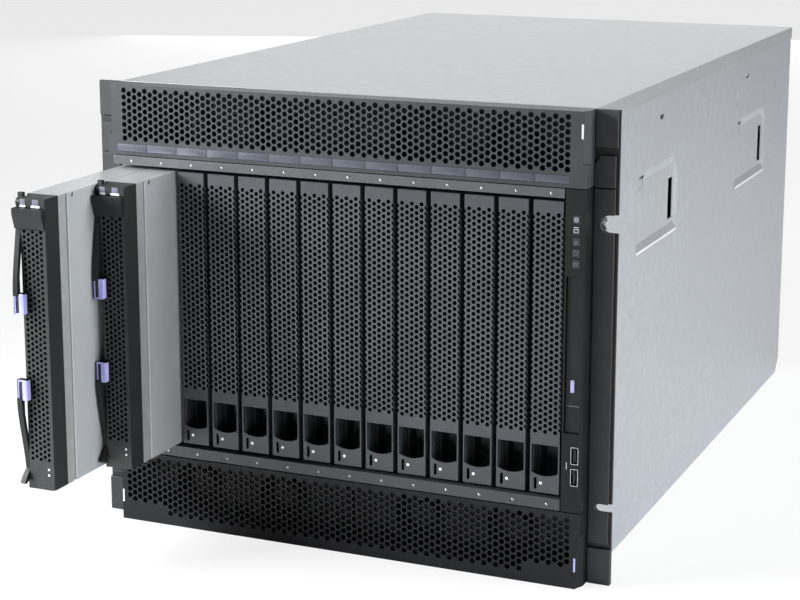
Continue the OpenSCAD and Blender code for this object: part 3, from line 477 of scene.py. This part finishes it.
# Status dashes set in the bezels
dashes = {"width": 0.0016, "height": 0.012, "depth": 0.0005, "corner": 0.0007, "edge": 0.0002}
dash = slab(dashes["width"], dashes["height"], dashes["depth"], dashes["corner"], dashes["edge"])
lowerLow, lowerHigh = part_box("lower_bezel")
lowerDashes = {"left": (0.0048, 0.022), "right": (0.0046, 0.021)}
leftIn, leftUp = lowerDashes["left"]
rightIn, rightUp = lowerDashes["right"]
addPiece("lower_left_dash", [putOn("front", dash, (lowerLow[0] + leftIn, lowerLow[1], lowerLow[2] + leftUp))],
         "silverPrint", "lower_bezel")
addPiece("lower_right_dash", [putOn("front", dash, (lowerHigh[0] - rightIn, lowerLow[1], lowerLow[2] + rightUp))],
         "lavender", "lower_bezel")
addPiece("upper_right_dash", [putOn("front", dash, (bezelHigh[0] - 0.0043, bezelLow[1], bezelHigh[2] - 0.016))],
         "silverPrint", "upper_bezel")

# Rivets of the guide rails, one by each slot
rivet = turned([(0.0011, -0.0002), (0.0011, 0.0001), (0.0008, 0.0004), (0.0004, 0.0005), (0.00005, 0.0005)], 14)
for name in ("upper_rail", "lower_rail"):
    railLow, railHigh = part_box(name)
    height = railLow[2] + (0.0035 if name == "upper_rail" else 0.0045)
    spots = [(middle + 0.0035, railLow[1], height) for middle in slotMiddles]
    addPiece(name + "_rivets", [putOn("front", rivet, spot) for spot in spots], "screw", "chassis")

# Fillers: domed latch button beside the grip
button = {"radius": 0.0014, "rise": 0.0006, "side": 0.0095, "height": 0.0083}
dome = turned([(button["radius"], -0.0004)] + [(button["radius"] * math.cos(t), button["rise"] * math.sin(t))
              for t in np.linspace(0, 1.5, 6)], 18)
for number in range(3, 15):
    low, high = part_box(f"filler_{number}")
    spot = (low[0] + button["side"], low[1], low[2] + button["height"])
    # The latch buttons take the glowing dome: a painted glow, for they are no lamps
    addPiece(f"filler_{number}_button", [putOn("front", dome, spot)], "glowWithPaintedHighlight",
             f"filler_{number}")

# Media tray: generic status signs, metal shells of the two ports, drawer's step and small marks
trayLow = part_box("media_tray")[0]
windowLow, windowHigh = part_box("status_windows")
signs = {"step": 0.0091, "size": 0.0040, "first": 0.0033, "line": 0.0006}
signX = (windowLow[0] + windowHigh[0]) / 2
signZ = [windowHigh[2] - signs["first"] - k * signs["step"] for k in range(5)]
half, line = signs["size"] / 2, signs["line"]
ringSign = sleeve(signs["size"], signs["size"], 0.0002, half * 0.98, line)
barSign = slab(signs["size"], line * 1.3, 0.0002, 0.0002, 0.00005)
squareSign = sleeve(signs["size"], signs["size"] * 0.8, 0.0002, 0.0004, line)
wedgeSign = prism([(-half, -half), (half, -half), (0, half)], 0.0002)
lightSigns = [(ringSign, 0, 0), (barSign, 0, 0), (squareSign, 1, 0), (barSign, 1, 0.0028)]
dimSigns = [(wedgeSign, 2, 0), (ringSign, 3, 0), (barSign, 4, 0.0008), (barSign, 4, -0.0008)]
for name, held in (("light", lightSigns), ("dim", dimSigns)):
    addPiece(f"tray_{name}_signs", [putOn("front", shape, (signX, windowLow[1] - 0.00005, signZ[k] + rise))
                                    for shape, k, rise in held],
             "sign" if name == "light" else "dimSign", bodyOf["status_windows"])
ports = {"size": (0.0064, 0.0146), "depth": 0.009, "wall": 0.0003, "side": 0.0078, "middles": (0.0490, 0.0305),
         "tongue": (0.0020, 0.0120)}
portBody = bodyOf["media_tray"]
shell = sleeve(*ports["size"], ports["depth"], 0.0006, ports["wall"])
tongue = slab(*ports["tongue"], ports["depth"] - 0.002, 0.0003, 0.0002)
shells, tongues = [], []
for drop in ports["middles"]:
    across, level = trayLow[0] + ports["side"] + 0.0035, trayLow[2] + drop
    behind = trayLow[1] + ports["depth"] - 0.0002
    shells.append(putOn("front", shell, (across, behind, level)))
    tongues.append(putOn("front", tongue, (across - 0.0008, behind, level)))
addPiece("port_shells", shells, "spring", portBody)
addPiece("port_tongues", tongues, "connector_plastic", portBody)
portMark = slab(0.0008, 0.0060, 0.0003, 0.0003, 0.0001)
addPiece("port_mark", [putOn("front", portMark, (trayLow[0] + 0.0045, trayLow[1], trayLow[2] + 0.040))],
         "sign", portBody)
drawerLow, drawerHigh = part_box("disc_drawer")
drawerLine = slab(drawerHigh[0] - drawerLow[0] - 0.001, 0.0009, 0.0003, 0.0004, 0.0001)
spot = ((drawerLow[0] + drawerHigh[0]) / 2, drawerLow[1], drawerLow[2] + 0.0228)
addPiece("drawer_line", [putOn("front", drawerLine, spot)], "dimSign", "disc_drawer")

# Pressed edges of the side sheets: a rolled bead along the foot of each pocket, coloured pale as a painted highlight
beads = {"length": 0.127, "height": 0.0026, "rise": 0.0006, "foot": 0.2560, "starts": (-0.2350, 0.1160)}
bead = slab(beads["length"], beads["height"], beads["rise"], beads["height"] / 2.05, 0.0005)
for side in ("right", "left"):
    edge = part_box(f"{side}_side")[1 if side == "right" else 0][0]
    spots = [(edge, start + 0.002 + beads["length"] / 2, beads["foot"]) for start in beads["starts"]]
    addPiece(f"{side}_pocket_beads", [putOn(side, bead, spot) for spot in spots], "bead", "chassis")

# Clip nuts in the notches of the mounting ears
clips = {"size": (0.0060, 0.0105), "heights": (0.3070, 0.0667), "place": 0.0085}
for side, sign in (("right", 1), ("left", -1)):
    low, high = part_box(f"{side}_ear")
    inner = low[0] if side == "right" else high[0]
    clip = slab(*clips["size"], 0.0007, 0.0008, 0.0002)
    nut = turned([(0.0026, -0.0002), (0.0026, 0.0006), (0.0021, 0.0010), (0.0012, 0.0010), (0.0010, 0.0003),
                  (0.00005, 0.0003)], 20)
    shapes = [putOn("front", clip, (inner + sign * clips["place"], high[1] + 0.0005, clips["heights"][0])),
              putOn("front", nut, (inner + sign * clips["place"], high[1] - 0.0002, clips["heights"][0]))]
    addPiece(f"{side}_ear_clip", shapes, "spring", "chassis")
print("front details made")

# Blades: marks, lever pads, lamps and spring tabs
bars = {"widths": (0.0054, 0.0085), "size": (0.0020, 0.00015), "places": (-0.0064, 0.0058), "height": 0.2403}
tabs = {"widths": (0.0050, 0.0060), "size": (0.0046, 0.00015), "height": 0.2438}
pads = {"front": 0.0065, "length": 0.0175, "column": (0.0050, 0.0048), "columnPlace": 0.00785, "proud": 0.0008,
        "rim": 0.0010, "rimPlace": 0.0018, "foot": 0.0013, "recess": 0.0034, "recessPlace": 0.0037}
arms = {"pivot": 0.005, "bow": 0.0095, "start": 0.55, "gap": 0.0003, "side": 0.0006, "width": 0.0020}
for number in (1, 2):
    body = f"blade_{number}"
    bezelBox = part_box(f"blade_{number}_bezel")
    middle = slotMiddles[number - 1]
    face = bezelBox[0][1]
    foot = bezelBox[0][2]
    barShapes, tabShapes = [], []
    for offset, barWidth, tabWidth in zip(bars["places"], bars["widths"], tabs["widths"]):
        barShapes.append(putOn("front", slab(barWidth, *bars["size"], 0.0004, 0.00005),
                               (middle + offset, face, foot + bars["height"])))
        tabShapes.append(putOn("front", slab(tabWidth, *tabs["size"], 0.0004, 0.00005),
                               (middle + offset, face, foot + tabs["height"])))
    addPiece(f"{body}_marks", barShapes, "silverPrint", body)
    addPiece(f"{body}_mark_shades", tabShapes, "grating", body)
    lamp = turned([(0.0011, -0.0002), (0.0010, 0.0002), (0.0006, 0.0005), (0.00005, 0.0006)], 14)
    addPiece(f"{body}_lamps", [putOn("front", lamp, (middle + 0.0093, face, foot + 0.0130)),
                               putOn("front", lamp, (middle + 0.0093, face, foot + 0.0180))],
             "glowWithPaintedHighlight", body)
    addPiece(f"{body}_stud", [putOn("front", lamp, (middle - 0.0022, face, foot + 0.0755))],
             "lever_plastic", body)
    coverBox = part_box(f"blade_{number}_cover")
    # Thin rib along the cover's front edge, coloured pale: painted highlight of the fold
    seam = slab(0.0014, coverBox[1][2] - coverBox[0][2] - 0.003, 0.0003, 0.0005, 0.0001)
    spot = (coverBox[1][0] - 0.0001, coverBox[0][1] + 0.0008, (coverBox[0][2] + coverBox[1][2]) / 2)
    addPiece(f"{body}_cover_seam", [putOn("right", seam, spot)], "bead", body)
    spring = turned([(0.0021, -0.0003), (0.0020, 0.0001), (0.0014, 0.0004), (0.00005, 0.0005)], 18)
    spot = (coverBox[1][0], face + 0.040, coverBox[1][2] - 0.0022)
    addPiece(f"{body}_spring", [putOn("right", spring, spot)], "spring", body)
    for end, sign in (("upper", -1), ("lower", 1)):
        lever = f"blade_{number}_{end}_lever"
        low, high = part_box(lever)
        bottom = low[2] if end == "upper" else high[2] - pads["length"]
        centre = bottom + pads["length"] / 2
        front = face - pads["front"]
        width, depth = pads["column"]
        column = slab(width, pads["length"], depth, 0.0010, 0.0006)
        rim = slab(pads["rim"], pads["length"], 0.0011, 0.0004, 0.0002)
        closing = slab(pads["columnPlace"] - pads["rimPlace"], pads["foot"], 0.0010, 0.0004, 0.0002)
        closingSpot = (low[0] + (pads["rimPlace"] + pads["columnPlace"]) / 2, front + 0.0003,
                       centre + sign * (pads["length"] - pads["foot"]) / 2)
        addPiece(f"{lever}_pad", [
            putOn("front", column, (low[0] + pads["columnPlace"], front + depth - pads["proud"], centre)),
            putOn("front", rim, (low[0] + pads["rimPlace"], front + 0.0003, centre)),
            putOn("front", closing, closingSpot)], "lavender", lever)
        # Flat dark slab round the pad, standing for its recess: painted shade
        recess = slab(pads["recess"], pads["length"] - 0.001, 0.0003, 0.0004, 0.0001)
        spot = (low[0] + pads["recessPlace"], front + 0.0001, centre)
        addPiece(f"{lever}_pad_recess", [putOn("front", recess, spot)], "recess", lever)
        # Web behind the arm: from the arm's back, which bows as bow * u * u * (3 - 2 * u), to just off the face. It
        # fills the dark band beside the arm, partly the arm's own width and partly painted shade.
        pivot = foot + 0.2470 - 0.0045 if end == "upper" else foot + 0.009
        reachZ = abs((bottom if end == "lower" else bottom + pads["length"]) - pivot) + 0.002
        u = np.linspace(arms["start"], 1, 10)
        backY = face + arms["pivot"] + 0.0002 - arms["bow"] * u * u * (3 - 2 * u) + 0.0012 * (1 - u) - 0.0006
        zs = pivot + sign * reachZ * u
        flat = np.full(len(u), face - arms["gap"])
        keep = backY < flat
        outline = np.concatenate([np.column_stack([backY[keep], zs[keep]]),
                                  np.column_stack([flat[keep], zs[keep]])[::-1]])
        web = place(prism(outline, arms["width"]), (low[0] + arms["side"], 0, 0), (0, 1, 0), (0, 0, 1))
        addPiece(f"{lever}_web", [web], "lever_plastic", lever)
print("blades detailed")

# Floor
floorMesh = bpy.data.meshes.new("floor")
reach = 40
corners = [(-reach, -reach, 0), (reach, -reach, 0), (reach, reach, 0), (-reach, reach, 0)]
floorMesh.from_pydata(corners, [], [(0, 1, 2, 3)])
floor = bpy.data.objects.new("floor", floorMesh)
floor.location = (0, 0, lowest[2] - 0.0001)
bpy.context.collection.objects.link(floor)
paper, graph, shader = newMaterial("paper")
shader["Base Color"].default_value = tone(238, 238, 238)
shader["Roughness"].default_value = 0.9
lit = paper.node_tree.nodes["Principled BSDF"].outputs[0]
plain = graph.add("ShaderNodeEmission", {"Color": (1, 1, 1, 1), "Strength": 1.0}).outputs[0]
seen = graph.plainShare()
share = graph.combine(seen, 0.8, "MULTIPLY")
both = graph.add("ShaderNodeMixShader", {0: share, 1: lit, 2: plain}).outputs[0]
graph.join(both, paper.node_tree.nodes["Material Output"].inputs["Surface"])
floorMesh.materials.append(paper)

# Room: white behind the floor, softer grey in reflections
world = bpy.data.worlds.new("room")
bpy.context.scene.world = world
world.use_nodes = True
graph = Graph(world.node_tree)
surround = world.node_tree.nodes["Background"]
seen = graph.plainShare()
heading = graph.add("ShaderNodeSeparateXYZ", {0: graph.add("ShaderNodeTexCoord").outputs["Generated"]}).outputs["Z"]
wall = graph.remap(heading, 0.14, 0.05, 0.1, 0.5)
air = graph.add("ShaderNodeCombineColor", {0: wall, 1: wall, 2: wall}).outputs[0]
graph.join(graph.mix(seen, air, (1, 1, 1, 1)), surround.inputs["Color"])
surround.inputs["Strength"].default_value = 1.0

# Soft studio lamps: place, target, size and power
lamps = {"key": ((-0.95, -1.0, 0.75), (0, -0.36, 0.25), 0.5, 36),
         "side": ((2.6, -0.5, 1.0), (0.2, 0, 0.2), 1.4, 36),
         "pool": ((2.2, 0.2, 1.6), (0.9, 0.1, 0), 1.0, 46),
         "behind": ((-1.2, 3.6, 1.0), (0, 0.2, 0.4), 2.6, 48)}
for name, (spot, aim, size, power) in lamps.items():
    lamp = bpy.data.lights.new(name, "AREA")
    lamp.size = size
    lamp.energy = power
    holder = bpy.data.objects.new(name, lamp)
    holder.visible_camera = False
    holder.location = spot
    holder.rotation_mode = "QUATERNION"
    holder.rotation_quaternion = (Vector(aim) - Vector(spot)).to_track_quat("-Z", "Y")
    bpy.context.collection.objects.link(holder)
print("stage lit")
